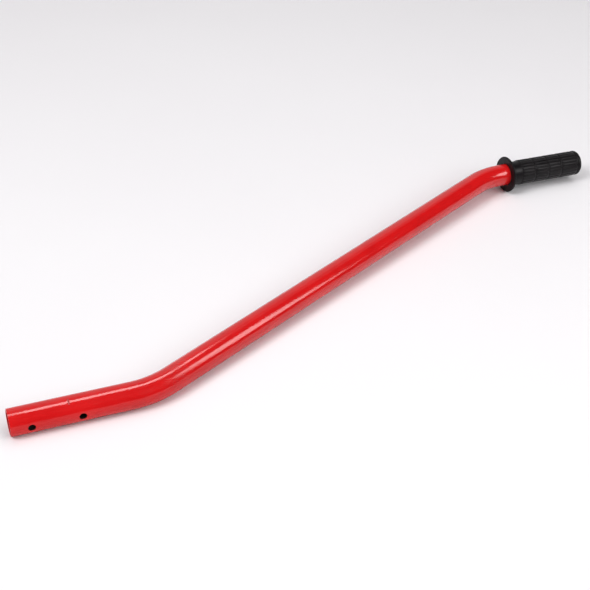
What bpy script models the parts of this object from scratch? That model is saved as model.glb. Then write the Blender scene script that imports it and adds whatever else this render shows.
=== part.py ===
"""Handle arm of a manual post driver.

A round steel tube has two equal and opposite bends in one plane, so that its two ends run parallel.
The mounting end is open and cross-drilled for two bolts. The other end wears a moulded hand grip.

Metres, +Z up. The arm lies as it rests on a flat surface, on its mounting leg and the grip's flange.
+X runs along the mounting leg, away from its open end, and the middle leg turns towards +Y.
The origin is the centre of the base of the arm's box.
"""

import math

import bmesh
import bpy
from mathutils import Matrix, Vector

# Tube. Leg lengths run between the corners where the straight centrelines would meet.
TUBE_DIAMETER = 0.032
TUBE_WALL = 0.002
MOUNTING_LEG = 0.163
MIDDLE_LEG = 0.671
HANDLE_LEG = 0.035              # second corner to the grip's flange
BEND_ANGLE = math.radians(26.0)
BEND_RADIUS = 0.113             # of the centreline

# Bolt holes, through both walls, square to the mounting leg and in the plane of the bends.
BOLT_HOLE_DIAMETER = 0.0085
BOLT_HOLE_INSET = 0.023         # open end to the first hole's axis
BOLT_HOLE_PITCH = 0.056
BOLT_HOLE_COUNT = 2

# Grip, a cup pushed over the tube's far end until the tube meets its end wall.
GRIP_LENGTH = 0.1275
GRIP_WALL = 0.0024              # at the pads
GRIP_END_WALL = 0.004
GRIP_END_RADIUS = 0.004
FIT_GAP = 0.0003                # between the tube and the grip, all round and at the end wall

# Flange, a thin disc with a round rim at the grip's mouth.
FLANGE_HEIGHT = 0.0084          # above the pads
FLANGE_THICKNESS = 0.0033

# Pads, raised in rows round the grip between ring grooves. The end row takes what length is left.
NECK_LENGTH = 0.0184            # flange to the first row
ROW_COUNT = 4
ROW_PITCH = 0.0235
END_BAND_LENGTH = 0.0066        # last ring groove to the closed end
RING_WIDTH = 0.0024
RING_DEPTH = 0.0009
PAD_COUNT = 18                  # in each row
FLUTE_DEPTH = 0.0008            # of the half-round groove between two pads
PAD_CHAMFER = 0.0004

# Facets
TUBE_SIDES = 32
BEND_STEPS = 8
HOLE_SIDES = 24
GRIP_SIDES = 2 * PAD_COUNT
FLUTE_SIDES = 8
ARC_STEPS = 4
OVERRUN = 0.005                 # how far a cutter passes beyond what it cuts
MERGE_DISTANCE = 0.00001

TUBE_RADIUS = TUBE_DIAMETER / 2
BORE_RADIUS = TUBE_RADIUS - TUBE_WALL
GRIP_BORE_RADIUS = TUBE_RADIUS + FIT_GAP
GRIP_RADIUS = GRIP_BORE_RADIUS + GRIP_WALL
FLANGE_RADIUS = GRIP_RADIUS + FLANGE_HEIGHT
NECK_RADIUS = GRIP_RADIUS - RING_DEPTH
TUBE_END_IN_GRIP = GRIP_LENGTH - GRIP_END_WALL - FIT_GAP
HANDLE_OFFSET = MIDDLE_LEG * math.sin(BEND_ANGLE)
FLANGE_X = MOUNTING_LEG + MIDDLE_LEG * math.cos(BEND_ANGLE) + HANDLE_LEG
TOTAL_LENGTH = FLANGE_X + GRIP_LENGTH

PART_NAME = "post_driver_handle"


def clear_scene():
    """Remove every object that is already there."""
    for old in list(bpy.data.objects):
        bpy.data.objects.remove(old, do_unlink=True)


def new_collection(name):
    """A collection linked to the scene."""
    collection = bpy.data.collections.new(name)
    bpy.context.scene.collection.children.link(collection)
    return collection


def add_object(name, data, collection, parent):
    """An object made from its data, hung on its parent."""
    made = bpy.data.objects.new(name, data)
    made.parent = parent
    collection.objects.link(made)
    return made


def plain_material(name, colour, roughness, metallic=0.0):
    """A Principled material of one colour."""
    made = bpy.data.materials.new(name)
    made.use_nodes = True
    made.diffuse_color = (*colour, 1.0)
    shader = made.node_tree.nodes["Principled BSDF"]
    shader.inputs["Base Color"].default_value = (*colour, 1.0)
    shader.inputs["Roughness"].default_value = roughness
    shader.inputs["Metallic"].default_value = metallic
    return made


def red_gloss_paint():
    """Baked gloss enamel on the steel tube."""
    return plain_material("red_gloss_paint", (0.60, 0.010, 0.014), 0.22)


def black_moulded_rubber():
    """Satin black moulding of the grip."""
    return plain_material("black_moulded_rubber", (0.018, 0.018, 0.020), 0.48)


def shade_round(mesh):
    """Smooth shading that keeps edges sharper than 30 degrees."""
    mesh.shade_smooth()
    mesh.set_sharp_from_angle(angle=math.radians(30.0))


def cut(target, cutter):
    """Subtract a cutter from an object."""
    boolean = target.modifiers.new("cut_" + cutter.name, "BOOLEAN")
    boolean.operation = "DIFFERENCE"
    boolean.object = cutter


def mark_as_cutter(cutter):
    """Show an object that only cuts as wire, and never render it."""
    cutter.display_type = "WIRE"
    cutter.hide_render = True
    return cutter


# ---------------------------------------------------------------- tube

def centreline_points(overrun):
    """Ends and tangent points of the centreline, with the heading at each, in the plane of the bends.

    The first bend runs from the second point to the third, and the second bend from the fourth to the
    fifth. The ends are moved outwards by the overrun.
    """
    along = Vector((1, 0, 0))
    across = Vector((math.cos(BEND_ANGLE), math.sin(BEND_ANGLE), 0))
    tangent = BEND_RADIUS * math.tan(BEND_ANGLE / 2)
    corner_1 = MOUNTING_LEG * along
    corner_2 = corner_1 + MIDDLE_LEG * across
    far_end = HANDLE_LEG + TUBE_END_IN_GRIP
    return [
        (-overrun * along, along),
        (corner_1 - tangent * along, along),
        (corner_1 + tangent * across, across),
        (corner_2 - tangent * across, across),
        (corner_2 + tangent * along, along),
        (corner_2 + (far_end + overrun) * along, along),
    ]


def centreline_curve(name, overrun):
    """The centreline as a Bezier curve: straight legs, and one circular segment for each bend."""
    curve = bpy.data.curves.new(name, "CURVE")
    curve.dimensions = "3D"
    curve.resolution_u = BEND_STEPS
    points = centreline_points(overrun)
    bend_starts = (1, 3)
    bend_ends = (2, 4)
    reach = 4 / 3 * math.tan(BEND_ANGLE / 4) * BEND_RADIUS
    spline = curve.splines.new("BEZIER")
    spline.bezier_points.add(len(points) - 1)
    for index, (place, heading) in enumerate(points):
        point = spline.bezier_points[index]
        point.co = place
        point.handle_left_type = "FREE" if index in bend_ends else "VECTOR"
        point.handle_right_type = "FREE" if index in bend_starts else "VECTOR"
        point.handle_left = place - reach * heading
        point.handle_right = place + reach * heading
    return curve


def bent_bar(name, radius, overrun, collection, parent):
    """A solid round bar along the centreline, as a mesh object with its caps welded on."""
    curve = centreline_curve(name, overrun)
    curve.bevel_depth = radius
    curve.bevel_resolution = (TUBE_SIDES - 4) // 2
    curve.use_fill_caps = True
    guide = add_object(name + "_guide", curve, collection, parent)
    graph = bpy.context.evaluated_depsgraph_get()
    mesh = bpy.data.meshes.new_from_object(guide.evaluated_get(graph))
    mesh.name = name
    weld(mesh)
    shade_round(mesh)
    bar = add_object(name, mesh, collection, parent)
    bar.matrix_world = guide.matrix_world
    bpy.data.objects.remove(guide, do_unlink=True)
    bpy.data.curves.remove(curve)
    return bar


def weld(mesh):
    """Join vertices that share a place, so that caps belong to their tube."""
    work = bmesh.new()
    work.from_mesh(mesh)
    bmesh.ops.remove_doubles(work, verts=work.verts, dist=MERGE_DISTANCE)
    bmesh.ops.recalc_face_normals(work, faces=work.faces)
    work.to_mesh(mesh)
    work.free()


def bolt_hole_mesh():
    """A round cutter along Y, longer than the tube is wide. Flats, not corners, meet the tube's edges."""
    flats = Matrix.Rotation(math.pi / HOLE_SIDES, 4, "Z")
    work = bmesh.new()
    bmesh.ops.create_cone(
        work,
        cap_ends=True,
        segments=HOLE_SIDES,
        radius1=BOLT_HOLE_DIAMETER / 2,
        radius2=BOLT_HOLE_DIAMETER / 2,
        depth=TUBE_DIAMETER + 2 * OVERRUN,
        matrix=Matrix.Rotation(math.pi / 2, 4, "X") @ flats,
    )
    mesh = bpy.data.meshes.new("bolt_hole")
    work.to_mesh(mesh)
    work.free()
    return mesh


def build_tube(parts, cutters, parent):
    """Bent tube, open at both ends, with the bolt holes across its mounting leg."""
    tube = bent_bar("handle_tube", TUBE_RADIUS, 0.0, parts, parent)
    tube.data.materials.append(red_gloss_paint())
    bore = bent_bar("tube_bore", BORE_RADIUS, OVERRUN, cutters, parent)
    cut(tube, mark_as_cutter(bore))
    hole = bolt_hole_mesh()
    for number in range(BOLT_HOLE_COUNT):
        drill = add_object(f"bolt_hole_{number + 1}", hole, cutters, parent)
        drill.location.x = BOLT_HOLE_INSET + number * BOLT_HOLE_PITCH
        cut(tube, mark_as_cutter(drill))


# ---------------------------------------------------------------- grip

def arc(centre_r, centre_z, radius, start, end):
    """Points (r, z) on an arc of a turned profile, from one angle to another in degrees."""
    points = []
    for step in range(ARC_STEPS + 1):
        angle = math.radians(start + (end - start) * step / ARC_STEPS)
        points.append((centre_r + radius * math.cos(angle), centre_z + radius * math.sin(angle)))
    return points


def row_spans():
    """Start and end of each row of pads, measured along the grip from the flange's face."""
    start = FLANGE_THICKNESS + NECK_LENGTH
    spans = []
    for row in range(ROW_COUNT):
        last = row == ROW_COUNT - 1
        end = GRIP_LENGTH - END_BAND_LENGTH - RING_WIDTH if last else start + ROW_PITCH - RING_WIDTH
        spans.append((start, end))
        start = end + RING_WIDTH
    return spans


def grip_profile():
    """Half section (r, z): closed end, down the outside, round the flange, and up the bore."""
    points = [(0.0, GRIP_LENGTH)]
    corner = GRIP_RADIUS - GRIP_END_RADIUS
    points += arc(corner, GRIP_LENGTH - GRIP_END_RADIUS, GRIP_END_RADIUS, 90, 0)
    rows = row_spans()
    band_start = rows[-1][1] + RING_WIDTH
    points.append((GRIP_RADIUS, band_start + PAD_CHAMFER))
    points.append((GRIP_RADIUS - PAD_CHAMFER, band_start))
    points.append((NECK_RADIUS, band_start - RING_DEPTH / 2))
    for start, end in reversed(rows):
        points.append((NECK_RADIUS, end + RING_DEPTH / 2))
        points.append((GRIP_RADIUS - PAD_CHAMFER, end))
        points.append((GRIP_RADIUS, end - PAD_CHAMFER))
        points.append((GRIP_RADIUS, start + PAD_CHAMFER))
        points.append((GRIP_RADIUS - PAD_CHAMFER, start))
        points.append((NECK_RADIUS, start - RING_DEPTH / 2))
    points.append((NECK_RADIUS, FLANGE_THICKNESS))
    rim = FLANGE_THICKNESS / 2
    points += arc(FLANGE_RADIUS - rim, rim, rim, 90, -90)
    points.append((GRIP_BORE_RADIUS, 0.0))
    points.append((GRIP_BORE_RADIUS, GRIP_LENGTH - GRIP_END_WALL))
    points.append((0.0, GRIP_LENGTH - GRIP_END_WALL))
    return points


def profile_mesh(name, points):
    """A chain of edges in the XZ plane."""
    mesh = bpy.data.meshes.new(name)
    edges = [(index, index + 1) for index in range(len(points) - 1)]
    mesh.from_pydata([(r, 0.0, z) for r, z in points], edges, [])
    return mesh


def turn(target, sides):
    """Turn a profile once about its own Z axis."""
    screw = target.modifiers.new("turn", "SCREW")
    screw.steps = sides
    screw.render_steps = sides
    screw.use_merge_vertices = True
    screw.merge_threshold = MERGE_DISTANCE
    screw.use_smooth_shade = True


def flute_mesh():
    """Thin rods round the grip, one on each gap between pads, from the neck to the last ring groove."""
    rows = row_spans()
    low = rows[0][0] - RING_WIDTH
    high = rows[-1][1] + RING_WIDTH / 2
    flats = Matrix.Rotation(math.pi / FLUTE_SIDES, 4, "Z")
    work = bmesh.new()
    for number in range(PAD_COUNT):
        turned = Matrix.Rotation(2 * math.pi * number / PAD_COUNT, 4, "Z")
        placed = Matrix.Translation((GRIP_RADIUS, 0, (low + high) / 2))
        bmesh.ops.create_cone(
            work,
            cap_ends=True,
            segments=FLUTE_SIDES,
            radius1=FLUTE_DEPTH,
            radius2=FLUTE_DEPTH,
            depth=high - low,
            matrix=turned @ placed @ flats,
        )
    mesh = bpy.data.meshes.new("pad_flutes")
    work.to_mesh(mesh)
    work.free()
    return mesh


def build_grip(parts, cutters, parent):
    """Moulded grip: a closed cup with a flange at its mouth and rows of raised pads."""
    seat = bpy.data.objects.new("grip_seat", None)
    seat.parent = parent
    seat.location = (FLANGE_X, HANDLE_OFFSET, 0.0)
    seat.rotation_euler.y = math.pi / 2
    parts.objects.link(seat)
    mesh = profile_mesh("hand_grip", grip_profile())
    mesh.materials.append(black_moulded_rubber())
    grip = add_object("hand_grip", mesh, parts, seat)
    turn(grip, GRIP_SIDES)
    flutes = add_object("pad_flutes", flute_mesh(), cutters, seat)
    cut(grip, mark_as_cutter(flutes))


# ---------------------------------------------------------------- assembly

def rest_pose(parts):
    """The empty that lays the arm down: rolled until the flange's rim touches the ground."""
    roll = math.asin((FLANGE_RADIUS - TUBE_RADIUS) / HANDLE_OFFSET)
    far_side = HANDLE_OFFSET * math.cos(roll) + FLANGE_RADIUS
    pose = bpy.data.objects.new("rest_pose", None)
    pose.rotation_euler.x = roll
    pose.location = (-TOTAL_LENGTH / 2, (TUBE_RADIUS - far_side) / 2, TUBE_RADIUS)
    parts.objects.link(pose)
    return pose


def main():
    """Build the whole arm."""
    clear_scene()
    parts = new_collection(PART_NAME)
    cutters = new_collection("cutters")
    pose = rest_pose(parts)
    build_tube(parts, cutters, pose)
    build_grip(parts, cutters, pose)


main()
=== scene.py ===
"""Looks of the post driver handle arm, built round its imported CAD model.

The tube and the grip are fine meshes that stand for the two CAD nodes. They take their place from
the CAD boxes and stay inside them.
"""

import math

import bpy
from mathutils import Matrix, Vector


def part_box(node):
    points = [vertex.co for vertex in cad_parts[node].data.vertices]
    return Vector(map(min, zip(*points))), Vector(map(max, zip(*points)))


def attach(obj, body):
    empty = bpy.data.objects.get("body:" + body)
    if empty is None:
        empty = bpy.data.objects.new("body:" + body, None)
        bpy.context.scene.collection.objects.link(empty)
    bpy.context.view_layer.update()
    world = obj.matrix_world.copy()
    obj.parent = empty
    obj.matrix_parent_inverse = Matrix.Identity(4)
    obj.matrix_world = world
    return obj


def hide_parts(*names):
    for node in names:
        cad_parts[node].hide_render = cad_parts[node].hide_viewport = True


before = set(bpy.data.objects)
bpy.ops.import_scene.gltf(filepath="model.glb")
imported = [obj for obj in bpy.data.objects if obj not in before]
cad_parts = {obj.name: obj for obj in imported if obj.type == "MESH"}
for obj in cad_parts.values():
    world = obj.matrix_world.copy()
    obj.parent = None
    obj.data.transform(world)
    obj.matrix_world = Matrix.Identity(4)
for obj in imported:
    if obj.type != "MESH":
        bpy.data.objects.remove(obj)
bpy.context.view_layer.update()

MM = 0.001

# Sizes that the boxes of the CAD nodes don't give
TUBE_DIAMETER = 32 * MM
TUBE_WALL = 2 * MM
BEND_ANGLE = math.radians(26)
BEND_RADIUS = 113 * MM
HANDLE_LEG = 35 * MM            # second corner to the grip's flange
HOLE_RADIUS = 4.25 * MM
HOLE_INSETS = (23 * MM, 79 * MM)
GRIP_RADIUS = 18.7 * MM
GRIP_BORE_RADIUS = 16.3 * MM
GRIP_END_WALL = 4 * MM
FIT_GAP = 0.3 * MM
SKIN = 0.05 * MM                # how far the visible surfaces stay inside the CAD ones


# ---------------------------------------------------------------- mesh building

VERTEX_STEPS = 2e6              # steps in a metre; points on the same step are one vertex


class Shell:
    """A mesh collected from points with normals. Points that share a place are one vertex."""

    def __init__(self):
        self.points = []
        self.normals = []
        self.faces = []
        self.looks = []
        self.found = {}

    def vertex(self, point, normal=None):
        key = tuple(round(c * VERTEX_STEPS) for c in point)
        if key not in self.found:
            self.found[key] = len(self.points)
            self.points.append(point)
            self.normals.append(normal)
        return self.found[key]

    def face(self, corners, look=0):
        loop = []
        for corner in corners:
            if corner not in loop:
                loop.append(corner)
        if len(loop) > 2:
            self.faces.append(loop)
            self.looks.append(look)

    def strip(self, lower, upper, look=0, closed=True):
        """Quads between two rows of vertices of equal count."""
        count = len(lower)
        for index in range(count if closed else count - 1):
            after = (index + 1) % count
            self.face((lower[index], lower[after], upper[after], upper[index]), look)

    def build(self, name, place, looks, normals=True):
        """The mesh object in the row frame, with the points' own normals or Blender's."""
        mesh = bpy.data.meshes.new(name)
        mesh.from_pydata([tuple(p) for p in self.points], [], self.faces)
        mesh.transform(place)
        for look in looks:
            mesh.materials.append(look)
        mesh.polygons.foreach_set("material_index", self.looks)
        mesh.shade_smooth()
        if normals:
            turned = place.to_3x3()
            mesh.normals_split_custom_set_from_vertices([turned @ n for n in self.normals])
        mesh.validate()
        made = bpy.data.objects.new(name, mesh)
        bpy.context.scene.collection.objects.link(made)
        return made


# ---------------------------------------------------------------- where the arm lies

tube_low, tube_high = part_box("handle_tube")
grip_low, grip_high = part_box("hand_grip")

RADIUS = TUBE_DIAMETER / 2
GRIP_LENGTH = grip_high.x - grip_low.x
FLANGE_RADIUS = (grip_high.z - grip_low.z) / 2
handle_axis = (grip_low + grip_high) / 2
leg_y = tube_low.y + RADIUS
leg_z = tube_low.z + RADIUS
OFFSET = math.hypot(handle_axis.y - leg_y, handle_axis.z - leg_z)
ROLL = math.atan2(handle_axis.z - leg_z, handle_axis.y - leg_y)

# Flat frame: u along the mounting leg from its open end, v across in the plane of the bends, w up.
flat_to_row = Matrix.Translation((tube_low.x, leg_y, leg_z)) @ Matrix.Rotation(ROLL, 4, "X")
flange_u = grip_low.x - tube_low.x
corner_2 = Vector((flange_u - HANDLE_LEG, OFFSET, 0))
corner_1 = Vector((corner_2.x - OFFSET / math.tan(BEND_ANGLE), 0, 0))
end_u = flange_u + GRIP_LENGTH - GRIP_END_WALL - FIT_GAP

ALONG = Vector((1, 0, 0))
ACROSS = Vector((math.cos(BEND_ANGLE), math.sin(BEND_ANGLE), 0))
UP = Vector((0, 0, 1))


# ---------------------------------------------------------------- tube

COLUMNS = 96
PATCH_COLUMNS = 7               # each way from a hole's middle
PATCH_REACH = 9 * MM
PATCH_STEPS = 14
PATCH_RINGS = 5
PATCH_CROWDING = 1.25           # above 1, the rings lie closer together near the hole
RIM = 0.35 * MM                 # rounding at a hole's outer edge
INNER_RIM = 0.15 * MM
END_RIM = 0.45 * MM             # rounding at the tube's ends
RIM_STEPS = 4
BEND_STEP = math.radians(1.3)
STRAIGHT_STEP = 14 * MM
OUTER = RADIUS - SKIN
BORE = RADIUS - TUBE_WALL


def straight(start, end, heading):
    """Stations (place, heading) of a straight stretch, its start left out."""
    count = max(1, round((end - start).length / STRAIGHT_STEP))
    return [(start.lerp(end, (k + 1) / count), heading) for k in range(count)]


def bend(start, heading, turn):
    """Stations of a bend, its start left out."""
    side = UP.cross(heading) * math.copysign(1, turn)
    centre = start + BEND_RADIUS * side
    count = round(abs(turn) / BEND_STEP)
    made = []
    for k in range(count):
        spin = Matrix.Rotation(turn * (k + 1) / count, 3, "Z")
        made.append((centre + spin @ (start - centre), spin @ heading))
    return made


def stations():
    """The centreline from just behind the open end's rounding to just before the far end's."""
    tangent = BEND_RADIUS * math.tan(BEND_ANGLE / 2)
    bend_1 = corner_1 - tangent * ALONG
    bend_2 = corner_2 - tangent * ACROSS
    made = [(Vector((END_RIM, 0, 0)), ALONG)]
    at = END_RIM
    for inset in HOLE_INSETS:
        for k in range(PATCH_STEPS + 1):
            u = inset - PATCH_REACH + 2 * PATCH_REACH * k / PATCH_STEPS
            if k == 0:
                made += straight(Vector((at, 0, 0)), Vector((u, 0, 0)), ALONG)
            else:
                made.append((Vector((u, 0, 0)), ALONG))
            at = u
    made += straight(Vector((at, 0, 0)), bend_1, ALONG)
    made += bend(bend_1, ALONG, BEND_ANGLE)
    made += straight(made[-1][0], bend_2, ACROSS)
    made += bend(bend_2, ACROSS, -BEND_ANGLE)
    made += straight(made[-1][0], Vector((end_u - END_RIM, OFFSET, 0)), ALONG)
    return made


def ring(shell, place, heading, radius, facing=1.0, lean=0.0):
    """One ring of vertices. lean tilts the normals along the heading, in radians."""
    side = UP.cross(heading)
    made = []
    for k in range(COLUMNS):
        angle = 2 * math.pi * k / COLUMNS
        out = math.cos(angle) * side + math.sin(angle) * UP
        normal = facing * math.cos(lean) * out + math.sin(lean) * heading
        made.append(shell.vertex(place + radius * out, normal))
    return made


def in_patch(u_low, u_high, column):
    """True for a quad of the mounting leg that a hole's patch takes the place of."""
    near = 0.01 * MM
    inside = any(
        inset - PATCH_REACH - near < u_low and u_high < inset + PATCH_REACH + near
        for inset in HOLE_INSETS
    )
    half = COLUMNS // 2
    offset = (column + PATCH_COLUMNS) % half
    return inside and offset < 2 * PATCH_COLUMNS


def wall(shell, radius, facing, look, path):
    """The tube's outer or inner surface, with openings for the holes' patches."""
    rings = [ring(shell, place, heading, radius, facing) for place, heading in path]
    for k in range(len(rings) - 1):
        u_low, u_high = path[k][0].x, path[k + 1][0].x
        on_leg = u_high < corner_1.x / 2 + HOLE_INSETS[-1]
        for column in range(COLUMNS):
            if on_leg and in_patch(u_low, u_high, column):
                continue
            after = (column + 1) % COLUMNS
            corners = [rings[k][column], rings[k][after], rings[k + 1][after], rings[k + 1][column]]
            shell.face(corners if facing > 0 else corners[::-1], look)
    return rings


def tube_end(shell, place, heading, outer_ring, inner_ring, outwards):
    """The annular end face with rounded edges."""
    previous = outer_ring
    steps = []
    for k in range(1, RIM_STEPS + 1):
        turn = math.pi / 2 * k / RIM_STEPS
        steps.append((OUTER - END_RIM * (1 - math.cos(turn)), END_RIM * math.sin(turn), 1.0, turn))
    for k in range(RIM_STEPS, 0, -1):
        turn = math.pi / 2 * k / RIM_STEPS
        steps.append((BORE + END_RIM * (1 - math.cos(turn)), END_RIM * math.sin(turn), -1.0, turn))
    for radius, reach, facing, turn in steps:
        made = ring(
            shell, place + outwards * reach * heading, heading, radius, facing, outwards * turn
        )
        shell.strip(*((made, previous) if outwards < 0 else (previous, made)), 0)
        previous = made
    shell.strip(*((inner_ring, previous) if outwards < 0 else (previous, inner_ring)), 0)


def patch_border():
    """Border of a hole's patch, as (share of the reach along u, column from the middle)."""
    steps, columns = PATCH_STEPS, PATCH_COLUMNS
    border = []
    for k in range(2 * columns):
        border.append((1.0, k - columns))
    for k in range(steps):
        border.append((1 - 2 * k / steps, columns))
    for k in range(2 * columns):
        border.append((-1.0, columns - k))
    for k in range(steps):
        border.append((2 * k / steps - 1, -columns))
    return border


def on_skin(u, w, radius, side):
    """Point and outward normal of a round tube at a place seen along v."""
    v = side * math.sqrt(radius * radius - w * w)
    return Vector((u, v, w)), Vector((0, v, w)) / radius


def patch(shell, middle, side, radius, facing, look, rim):
    """Skin round a hole, from the openings' border to where the hole's rounding starts."""
    border = patch_border()
    outline = []
    for share, column in border:
        angle = 2 * math.pi * column / COLUMNS
        outline.append((PATCH_REACH * share, radius * math.sin(angle)))
    turns = [math.atan2(w, u) for u, w in outline]
    edge = HOLE_RADIUS + rim
    previous = None
    for level in range(PATCH_RINGS + 1):
        share = 1 - (1 - level / PATCH_RINGS) ** PATCH_CROWDING
        made = []
        for (u, w), turn in zip(outline, turns):
            mixed_u = (1 - share) * u + share * edge * math.cos(turn)
            mixed_w = (1 - share) * w + share * edge * math.sin(turn)
            point, normal = on_skin(middle + mixed_u, mixed_w, radius, side)
            made.append(shell.vertex(point, facing * normal))
        if previous:
            flip = side * facing > 0
            shell.strip(*((made, previous) if flip else (previous, made)), look)
        previous = made
    return previous, turns


def bolt_hole(shell, middle, side):
    """One hole through one wall: both skins, both roundings and the straight bore between them."""
    outer_edge, turns = patch(shell, middle, side, OUTER, 1.0, 0, RIM)
    inner_edge, inner_turns = patch(shell, middle, side, BORE, -1.0, 1, INNER_RIM)
    loops = [(outer_edge, 0)]
    for radius, rim, sign, angles in ((OUTER, RIM, 1, turns), (BORE, INNER_RIM, -1, inner_turns)):
        levels = range(1, RIM_STEPS + 1) if sign > 0 else range(RIM_STEPS, 0, -1)
        for k in levels:
            lean = math.pi / 2 * k / RIM_STEPS
            reach = HOLE_RADIUS + rim * (1 - math.sin(lean))
            sink = rim * (1 - math.cos(lean))
            made = []
            for turn in angles:
                u, w = reach * math.cos(turn), reach * math.sin(turn)
                point, normal = on_skin(middle + u, w, radius, side)
                point -= Vector((0, side * sign * sink, 0))
                inwards = Vector((-math.cos(turn), 0, -math.sin(turn)))
                made.append(
                    shell.vertex(point, sign * math.cos(lean) * normal + math.sin(lean) * inwards)
                )
            loops.append((made, 0 if sign > 0 else 1))
    loops.append((inner_edge, 1))
    for (upper, _), (lower, look) in zip(loops, loops[1:]):
        shell.strip(*((lower, upper) if side > 0 else (upper, lower)), look)


def build_tube(paint, steel):
    shell = Shell()
    path = stations()
    outer = wall(shell, OUTER, 1.0, 0, path)
    inner = wall(shell, BORE, -1.0, 1, path)
    tube_end(shell, path[0][0], ALONG, outer[0], inner[0], -1)
    tube_end(shell, path[-1][0], ALONG, outer[-1], inner[-1], 1)
    for middle in HOLE_INSETS:
        for side in (-1, 1):
            bolt_hole(shell, middle, side)
    return shell.build("painted_tube", flat_to_row, (paint, steel))


# ---------------------------------------------------------------- grip

PADS = 18
FLANGE_THICKNESS = 3.3 * MM
NECK_LENGTH = 18.4 * MM
ROW_COUNT = 4
ROW_PITCH = 23.5 * MM
END_BAND = 6.6 * MM             # last ring groove to the closed end
RING_WIDTH = 2.4 * MM
RING_DEPTH = 0.9 * MM
FLUTE_DEPTH = 0.8 * MM
END_RADIUS = 4.2 * MM
NECK_FILLET = 0.9 * MM
MOUTH_CHAMFER = 0.25 * MM
FLANGE_STEPS = 12               # round the flange's edge
FILLET_STEPS = 5
ROW_STEPS = 5                   # along a row of pads
END_STEPS = 8                   # round the closed end's edge
END_SHARES = (0.75, 0.45, 0.2)  # rings on the closed end's flat
NECK_RINGS = (12 * MM, 6 * MM)  # back from the first row
CREASE_ANGLE = math.radians(50)

# Millimetres from a flute's middle, and share of the flute's depth there
FLUTE_SHAPE = (
    (0.0, 1.0), (0.28, 0.95), (0.52, 0.80), (0.75, 0.56),
    (0.98, 0.32), (1.3, 0.16), (1.8, 0.07), (2.4, 0.02),
)
# Millimetres outwards from the edge of a ring groove, and share of the groove's depth there
GROOVE_SHAPE = (
    (-0.4, 1.0), (-0.2, 0.95), (-0.05, 0.8), (0.15, 0.5), (0.4, 0.3),
    (0.8, 0.17), (1.4, 0.08), (2.2, 0.03), (3.2, 0.0),
)


def grip_columns():
    """(angle, share of flute depth) right round the grip."""
    pitch = 2 * math.pi / PADS
    made = []
    for pad in range(PADS):
        start = pad * pitch
        for offset, share in FLUTE_SHAPE:
            made.append((start + offset * MM / GRIP_RADIUS, share))
        made.append((start + pitch / 2, 0.0))
        for offset, share in reversed(FLUTE_SHAPE[1:]):
            made.append((start + pitch - offset * MM / GRIP_RADIUS, share))
    return made


def grip_rings():
    """(z, radius, 1 where fluted) from the mouth's lip round the outside to the closed end."""
    neck = GRIP_RADIUS - RING_DEPTH
    rim = FLANGE_THICKNESS / 2
    flange = FLANGE_RADIUS - SKIN
    flat_edge = flange - 2.2 * rim
    made = [(MOUTH_CHAMFER, GRIP_BORE_RADIUS, 0), (0.0, GRIP_BORE_RADIUS + MOUTH_CHAMFER, 0)]
    made += [(0.0, GRIP_RADIUS, 0), (0.0, flat_edge, 0)]
    for k in range(FLANGE_STEPS + 1):
        turn = math.pi * k / FLANGE_STEPS
        made.append((rim - rim * math.cos(turn), flange - rim + rim * math.sin(turn), 0))
    made.append((FLANGE_THICKNESS, flat_edge, 0))
    made.append((FLANGE_THICKNESS, neck + 2 * NECK_FILLET, 0))
    for k in range(FILLET_STEPS + 1):
        turn = math.pi / 2 * k / FILLET_STEPS
        z = FLANGE_THICKNESS + NECK_FILLET * (1 - math.cos(turn))
        made.append((z, neck + NECK_FILLET * (1 - math.sin(turn)), 0))
    first = FLANGE_THICKNESS + NECK_LENGTH
    last = GRIP_LENGTH - END_BAND
    made += [(first - back, neck, 0) for back in NECK_RINGS]
    edges = [(first, 1)]
    for row in range(1, ROW_COUNT):
        start = first + row * ROW_PITCH
        edges += [(start - RING_WIDTH, -1), (start, 1)]
    edges += [(last - RING_WIDTH, -1), (last, 1)]
    for number, (edge, way) in enumerate(edges):
        shape = GROOVE_SHAPE if way > 0 else GROOVE_SHAPE[::-1]
        for offset, share in shape:
            fluted = 0 if number == len(edges) - 1 else 1
            made.append((edge + way * offset * MM, GRIP_RADIUS - RING_DEPTH * share, fluted))
        if way > 0 and number < len(edges) - 1:
            after = edges[number + 1][0]
            for k in range(1, ROW_STEPS):
                made.append((edge + (after - edge) * k / ROW_STEPS, GRIP_RADIUS, 1))
    for k in range(END_STEPS + 1):
        turn = math.pi / 2 * k / END_STEPS
        z = GRIP_LENGTH - SKIN - END_RADIUS * (1 - math.sin(turn))
        made.append((z, GRIP_RADIUS - END_RADIUS * (1 - math.cos(turn)), 0))
    for share in END_SHARES:
        made.append((GRIP_LENGTH - SKIN, (GRIP_RADIUS - END_RADIUS) * share, 0))
    return made


def soft_depth(a, b):
    """The deeper of two grooves, with the corner where they meet softened."""
    return (a ** 4 + b ** 4) ** 0.25


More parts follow.
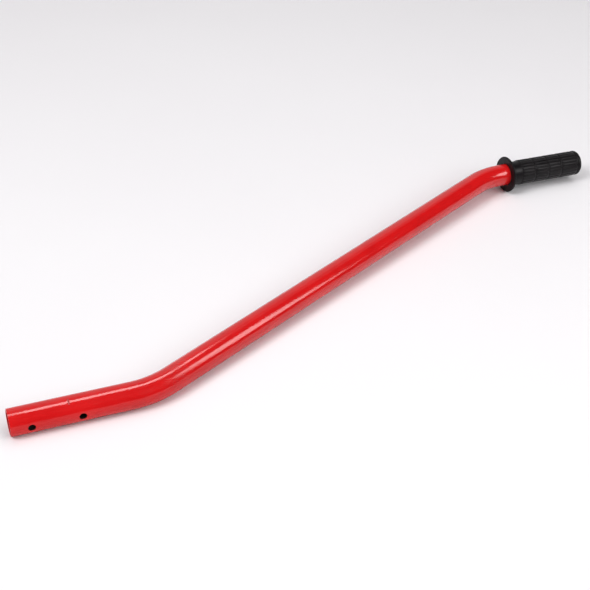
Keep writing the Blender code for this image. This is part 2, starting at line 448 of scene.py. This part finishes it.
def build_grip(rubber):
    """Turned about its own z, which the place then lays along the handle."""
    shell = Shell()
    columns = grip_columns()
    loops = []
    for z, radius, fluted in grip_rings():
        loop = []
        for angle, share in columns:
            depth = GRIP_RADIUS - radius
            if fluted:
                depth = soft_depth(max(depth, 0), share * FLUTE_DEPTH)
            r = GRIP_RADIUS - depth
            loop.append(shell.vertex(Vector((r * math.cos(angle), r * math.sin(angle), z))))
        loops.append(loop)
    for lower, upper in zip(loops, loops[1:]):
        shell.strip(lower, upper)
    tip = shell.vertex(Vector((0, 0, GRIP_LENGTH - SKIN)))
    count = len(columns)
    for k in range(count):
        shell.face((loops[-1][k], loops[-1][(k + 1) % count], tip))
    floor_z = GRIP_LENGTH - GRIP_END_WALL
    bore = []
    for angle, _ in columns:
        x, y = GRIP_BORE_RADIUS * math.cos(angle), GRIP_BORE_RADIUS * math.sin(angle)
        bore.append(shell.vertex(Vector((x, y, floor_z))))
    shell.strip(bore, loops[0])
    inner_tip = shell.vertex(Vector((0, 0, floor_z)))
    for k in range(count):
        shell.face((bore[(k + 1) % count], bore[k], inner_tip))
    lay = Matrix(((0, 0, 1, 0), (1, 0, 0, 0), (0, 1, 0, 0), (0, 0, 0, 1)))
    place = Matrix.Translation((grip_low.x, handle_axis.y, handle_axis.z)) @ lay
    made = shell.build("moulded_grip", place, (rubber,), normals=False)
    made.data.set_sharp_from_angle(angle=CREASE_ANGLE)
    return made


# ---------------------------------------------------------------- materials

class Nodes:
    """Short names for building a node tree round a Principled shader."""

    def __init__(self, name):
        self.look = bpy.data.materials.new(name)
        self.look.use_nodes = True
        self.tree = self.look.node_tree
        self.shader = self.tree.nodes["Principled BSDF"]
        self.place = self.add("ShaderNodeTexCoord").outputs["Object"]

    def add(self, kind, **values):
        node = self.tree.nodes.new(kind)
        for key, value in values.items():
            setattr(node, key, value)
        return node

    def link(self, source, target):
        self.tree.links.new(source, target)

    def noise(self, scale, detail=3.0, roughness=0.55):
        node = self.add("ShaderNodeTexNoise")
        self.link(self.place, node.inputs["Vector"])
        node.inputs["Scale"].default_value = scale
        node.inputs["Detail"].default_value = detail
        node.inputs["Roughness"].default_value = roughness
        return node.outputs["Fac"]

    def stretch(self, source, low, high, to_low=0.0, to_high=1.0):
        node = self.add("ShaderNodeMapRange")
        node.interpolation_type = "SMOOTHSTEP"
        self.link(source, node.inputs["Value"])
        node.inputs["From Min"].default_value = low
        node.inputs["From Max"].default_value = high
        node.inputs["To Min"].default_value = to_low
        node.inputs["To Max"].default_value = to_high
        return node.outputs["Result"]

    def math(self, operation, a, b=None):
        node = self.add("ShaderNodeMath", operation=operation)
        for socket, value in zip(node.inputs, (a, b)):
            if value is None:
                continue
            if isinstance(value, (int, float)):
                socket.default_value = value
            else:
                self.link(value, socket)
        return node.outputs[0]

    def mix(self, share, a, b):
        node = self.add("ShaderNodeMix", data_type="RGBA")
        self.link(share, node.inputs["Factor"])
        for socket, value in ((node.inputs[6], a), (node.inputs[7], b)):
            if isinstance(value, tuple):
                socket.default_value = (*value, 1.0)
            else:
                self.link(value, socket)
        return node.outputs[2]

    def specks(self, scale, size, share):
        """Small round spots in some of the cells of a scattered grid."""
        cells = self.add("ShaderNodeTexVoronoi", feature="F1")
        self.link(self.place, cells.inputs["Vector"])
        cells.inputs["Scale"].default_value = scale
        spot = self.stretch(cells.outputs["Distance"], size, size * 0.5)
        parts = self.add("ShaderNodeSeparateColor")
        self.link(cells.outputs["Color"], parts.inputs["Color"])
        chosen = self.math("LESS_THAN", parts.outputs["Red"], share)
        return self.math("MULTIPLY", spot, chosen)

    def near(self, spot, outer, inner):
        """One close to a place, nothing beyond the outer distance."""
        away = self.add("ShaderNodeVectorMath", operation="DISTANCE")
        self.link(self.place, away.inputs[0])
        away.inputs[1].default_value = spot
        return self.stretch(away.outputs["Value"], outer, inner)

    def beside(self, x, outer, inner):
        """One close to a plane across X, nothing beyond the outer distance."""
        parts = self.add("ShaderNodeSeparateXYZ")
        self.link(self.place, parts.inputs[0])
        away = self.math("ABSOLUTE", self.math("SUBTRACT", parts.outputs["X"], x))
        return self.stretch(away, outer, inner)

    def bump(self, height, distance, strength=1.0, under=None):
        node = self.add("ShaderNodeBump")
        node.inputs["Strength"].default_value = strength
        node.inputs["Distance"].default_value = distance
        self.link(height, node.inputs["Height"])
        if under is not None:
            self.link(under, node.inputs["Normal"])
        return node.outputs["Normal"]

    def set(self, **values):
        for key, value in values.items():
            socket = self.shader.inputs[key.replace("_", " ")]
            if isinstance(value, (int, float)):
                socket.default_value = value
            else:
                self.link(value, socket)


def on_tube(start, heading, along, turn):
    """A place on a leg's skin. turn is the angle from the camera's side upwards."""
    side = Vector((heading.y, -heading.x, 0))
    outwards = side * math.cos(turn) + UP * math.sin(turn)
    return flat_to_row @ (start + heading * along + outwards * OUTER)


# Marks in the paint. A reach is the distance where the mark ends, then the one where it is full.
SCRATCH_ALONG = 66 * MM         # from the open end
SCRATCH_TURN = math.radians(78)
SCRATCH_REACH = (4.5 * MM, 2.5 * MM)
SCRATCH_HALF_WIDTH = (1.6 * MM, 0.5 * MM)
CRAZING_ALONG = BEND_RADIUS * math.tan(BEND_ANGLE / 2) + 4 * MM     # from the first corner
CRAZING_TURN = math.radians(75)
CRAZING_REACH = (26 * MM, 8 * MM)


def red_enamel():
    """Gloss enamel with faint orange peel, dust nibs, some crazing and one scratch."""
    n = Nodes("red_gloss_enamel")
    film = n.stretch(n.noise(28, 4), 0.3, 0.7)
    colour = n.mix(film, (0.59, 0.0078, 0.0088), (0.65, 0.0094, 0.0104))
    dust = n.specks(150, 0.10, 0.06)
    colour = n.mix(n.math("MULTIPLY", dust, 0.5), colour, (0.35, 0.02, 0.02))
    pale = n.specks(210, 0.10, 0.05)
    colour = n.mix(n.math("MULTIPLY", pale, 0.35), colour, (0.80, 0.16, 0.15))
    rough = n.stretch(n.noise(60, 4), 0.3, 0.7, 0.10, 0.15)
    rough = n.math("ADD", rough, n.math("MULTIPLY", dust, 0.2))
    swell = n.bump(n.noise(110, 2, 0.5), 0.00007)
    peel = n.bump(n.noise(480, 2, 0.55), 0.00008, 1.0, swell)
    nibs = n.bump(dust, 0.0001, 0.6, peel)
    crazed = n.near(on_tube(corner_1, ACROSS, CRAZING_ALONG, CRAZING_TURN), *CRAZING_REACH)
    crackle = n.math("MULTIPLY", crazed, n.stretch(n.noise(900, 2), 0.55, 0.75))
    nibs = n.bump(crackle, 0.0003, 1.0, nibs)
    spot = on_tube(Vector((0, 0, 0)), ALONG, SCRATCH_ALONG, SCRATCH_TURN)
    length, width = n.near(spot, *SCRATCH_REACH), n.beside(spot.x, *SCRATCH_HALF_WIDTH)
    scratch = n.math("MULTIPLY", length, width)
    colour = n.mix(n.math("MULTIPLY", scratch, 0.7), colour, (0.22, 0.005, 0.006))
    rough = n.math("ADD", rough, n.math("MULTIPLY", scratch, 0.3))
    nibs = n.bump(scratch, -0.00012, 1.0, nibs)
    n.set(Base_Color=colour, Roughness=rough, Normal=nibs, IOR=1.5)
    return n.look


def bare_steel_and_painted_shade():
    """Dark mill-scale steel of the bore, with red overspray near the open end. Its dark colour is
    partly the steel's own and partly painted shade inside the tube.
    """
    n = Nodes("bore_steel_and_painted_shade")
    parts = n.add("ShaderNodeSeparateXYZ")
    n.link(n.place, parts.inputs[0])
    ragged = n.math("MULTIPLY", n.noise(120, 3), 8 * MM)
    reach = n.math("SUBTRACT", parts.outputs["X"], ragged)
    spray = n.stretch(reach, tube_low.x + 8 * MM, tube_low.x - 4 * MM)
    # These steel colours are darker than bare steel alone: partly the steel's own colour, partly
    # painted shade in the bore
    scale = n.mix(n.noise(90, 5), (0.012, 0.010, 0.010), (0.035, 0.028, 0.025))
    rust = n.stretch(n.noise(45, 5), 0.58, 0.72)
    scale = n.mix(rust, scale, (0.045, 0.018, 0.010))
    n.set(
        Base_Color=n.mix(spray, scale, (0.42, 0.010, 0.012)),
        Roughness=n.stretch(n.noise(200, 3), 0.3, 0.7, 0.5, 0.75),
        Metallic=0.0,
        Normal=n.bump(n.noise(500, 4), 0.0001, 0.6),
    )
    return n.look


def black_rubber():
    """Satin black moulding with a fine grain and handling marks."""
    n = Nodes("black_satin_rubber")
    haze = n.stretch(n.noise(55, 5, 0.6), 0.35, 0.75)
    colour = n.mix(haze, (0.0052, 0.0040, 0.0047), (0.0100, 0.0083, 0.0092))
    dust = n.specks(260, 0.09, 0.05)
    colour = n.mix(n.math("MULTIPLY", dust, 0.5), colour, (0.12, 0.115, 0.11))
    rough = n.stretch(n.noise(75, 5, 0.6), 0.3, 0.7, 0.31, 0.44)
    grain = n.bump(n.noise(2600, 3, 0.6), 0.00002, 0.7)
    n.set(Base_Color=colour, Roughness=rough, Normal=grain, IOR=1.27)
    return n.look


def pale_floor():
    """Matt off-white studio paper."""
    n = Nodes("studio_paper")
    tone = n.stretch(n.noise(1.1, 3), 0.3, 0.7)
    colour = n.mix(tone, (0.885, 0.868, 0.885), (0.905, 0.890, 0.905))
    n.set(Base_Color=colour, Roughness=0.85, Normal=n.bump(n.noise(900, 2), 0.00004, 0.4))
    return n.look


# ---------------------------------------------------------------- pieces

tube = build_tube(red_enamel(), bare_steel_and_painted_shade())
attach(tube, "root")
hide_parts("handle_tube")

grip = build_grip(black_rubber())
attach(grip, "root")
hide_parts("hand_grip")


# ---------------------------------------------------------------- stage

FLOOR_REACH = 9.0


def flat_sheet(name, corners, look):
    """One quad of the stage."""
    mesh = bpy.data.meshes.new(name)
    mesh.from_pydata(corners, [], [(0, 1, 2, 3)])
    mesh.materials.append(look)
    made = bpy.data.objects.new(name, mesh)
    bpy.context.scene.collection.objects.link(made)
    return made


floor_quarters = ((-1, -1), (1, -1), (1, 1), (-1, 1))
floor_corners = [(x * FLOOR_REACH, y * FLOOR_REACH, 0) for x, y in floor_quarters]
flat_sheet("studio_floor", floor_corners, pale_floor())


def dimming_gel(share):
    """A clear sheet: a share of the light passes at the open end, and all of it past the middle."""
    look = bpy.data.materials.new("dimming_gel")
    look.use_nodes = True
    tree = look.node_tree
    tree.nodes.remove(tree.nodes["Principled BSDF"])
    clear = tree.nodes.new("ShaderNodeBsdfTransparent")
    place = tree.nodes.new("ShaderNodeTexCoord")
    parts = tree.nodes.new("ShaderNodeSeparateXYZ")
    fade = tree.nodes.new("ShaderNodeMapRange")
    fade.interpolation_type = "SMOOTHSTEP"
    fade.inputs["From Min"].default_value = tube_low.x
    fade.inputs["From Max"].default_value = 0.0
    fade.inputs["To Min"].default_value = share
    fade.inputs["To Max"].default_value = 1.0
    tree.links.new(place.outputs["Object"], parts.inputs[0])
    tree.links.new(parts.outputs["X"], fade.inputs["Value"])
    tree.links.new(fade.outputs["Result"], clear.inputs["Color"])
    tree.links.new(clear.outputs[0], tree.nodes["Material Output"].inputs["Surface"])
    return look


# Only reflections see the gel. It tones down the floor on the camera's side in the paint's gloss.
GEL_HEIGHT = 0.3 * MM
GEL_SHARE = 0.60
end_low = Vector((tube_low.x, leg_y, 0))
end_high = Vector((grip_low.x, handle_axis.y, 0))
run = (end_high - end_low).normalized()
towards_camera = run.cross(UP)
middle = (end_low + end_high) / 2
lift = GEL_HEIGHT * UP
gel_near = [middle + side * FLOOR_REACH * run + lift for side in (-1, 1)]
gel_far = [point + FLOOR_REACH * towards_camera for point in reversed(gel_near)]
gel = flat_sheet("reflection_gel", gel_near + gel_far, dimming_gel(GEL_SHARE))
gel.visible_camera = False
gel.visible_diffuse = False
gel.visible_shadow = False


def soft_light(name, seen, place, width, depth, radiance, aim=(0, 0, 0), turn=0.0):
    """An even rectangular light that faces a point. Its width runs level, before the turn.

    seen is "glossy" for a light that only reflections show, and "diffuse" for one that only lights.
    """
    data = bpy.data.lights.new(name, "AREA")
    data.shape = "RECTANGLE"
    data.size = width
    data.size_y = depth
    data.energy = radiance * math.pi * width * depth
    back = (Vector(place) - Vector(aim)).normalized()
    level = UP.cross(back).normalized()
    facing = Matrix((level, back.cross(level), back)).transposed()
    made = bpy.data.objects.new(name, data)
    made.location = place
    made.rotation_euler = (facing @ Matrix.Rotation(turn, 3, "Z")).to_euler()
    made.visible_glossy = seen == "glossy"
    made.visible_diffuse = seen == "diffuse"
    made.visible_camera = False
    bpy.context.scene.collection.objects.link(made)


soft_light(
    "overhead_strip", "glossy",
    place=(-0.181, 0.040, 0.601), width=0.574, depth=0.164, radiance=7.5, turn=-0.908,
)
soft_light(
    "side_softbox", "glossy",
    place=(0.940, -0.560, 0.820), width=0.40, depth=0.72, radiance=6.6, turn=0.05,
)
soft_light(
    "key_fill", "diffuse",
    place=(-3.30, -0.97, 3.40), width=1.9, depth=1.9, radiance=11.6,
)
soft_light(
    "overhead_fill", "diffuse",
    place=(0.10, 0.10, 2.6), width=3.0, depth=3.0, radiance=1.0,
)
soft_light(
    "front_fill", "diffuse",
    place=(1.30, -2.20, 2.00), width=2.4, depth=1.8, radiance=3.3,
)
soft_light(
    "far_card", "glossy",
    place=(0.4, 3.2, 1.5), width=8.0, depth=3.4, radiance=0.62, aim=(0.4, 0, 1.5),
)
soft_light(
    "far_card_top", "glossy",
    place=(0.4, 3.0, 4.4), width=8.0, depth=2.6, radiance=0.35, aim=(0.4, 0, 1.0),
)

AIR_COLOUR = (1.0, 0.965, 0.99, 1.0)
AIR_STRENGTH = 0.19

world = bpy.data.worlds.new("studio_air")
world.use_nodes = True
world.node_tree.nodes["Background"].inputs["Color"].default_value = AIR_COLOUR
world.node_tree.nodes["Background"].inputs["Strength"].default_value = AIR_STRENGTH
world.cycles_visibility.glossy = False
bpy.context.scene.world = world


# ---------------------------------------------------------------- camera

VIEW_AZIMUTH = math.radians(24.108)     # from +Y towards +X
VIEW_ELEVATION = math.radians(36.100)
VIEW_ROLL = math.radians(3.434)
VIEW_DISTANCE = 1.39254
VIEW_TARGET = Vector((-0.07888, -0.03237, 0.016))
SENSOR_WIDTH = 36               # millimetres, as is the lens
LENS = 66.13

heading = Vector((
    math.sin(VIEW_AZIMUTH) * math.cos(VIEW_ELEVATION),
    math.cos(VIEW_AZIMUTH) * math.cos(VIEW_ELEVATION),
    -math.sin(VIEW_ELEVATION),
))
camera_data = bpy.data.cameras.new("photo_camera")
camera_data.sensor_width = SENSOR_WIDTH
camera_data.lens = LENS
camera_data.clip_start = 0.05
camera_data.clip_end = 40
camera = bpy.data.objects.new("photo_camera", camera_data)
camera.location = VIEW_TARGET - VIEW_DISTANCE * heading
level = heading.to_track_quat("-Z", "Y").to_matrix()
camera.rotation_euler = (level @ Matrix.Rotation(VIEW_ROLL, 3, "Z")).to_euler()
bpy.context.scene.collection.objects.link(camera)
bpy.context.scene.camera = camera

bpy.context.scene.view_settings.view_transform = "Standard"
bpy.context.scene.view_settings.look = "None"
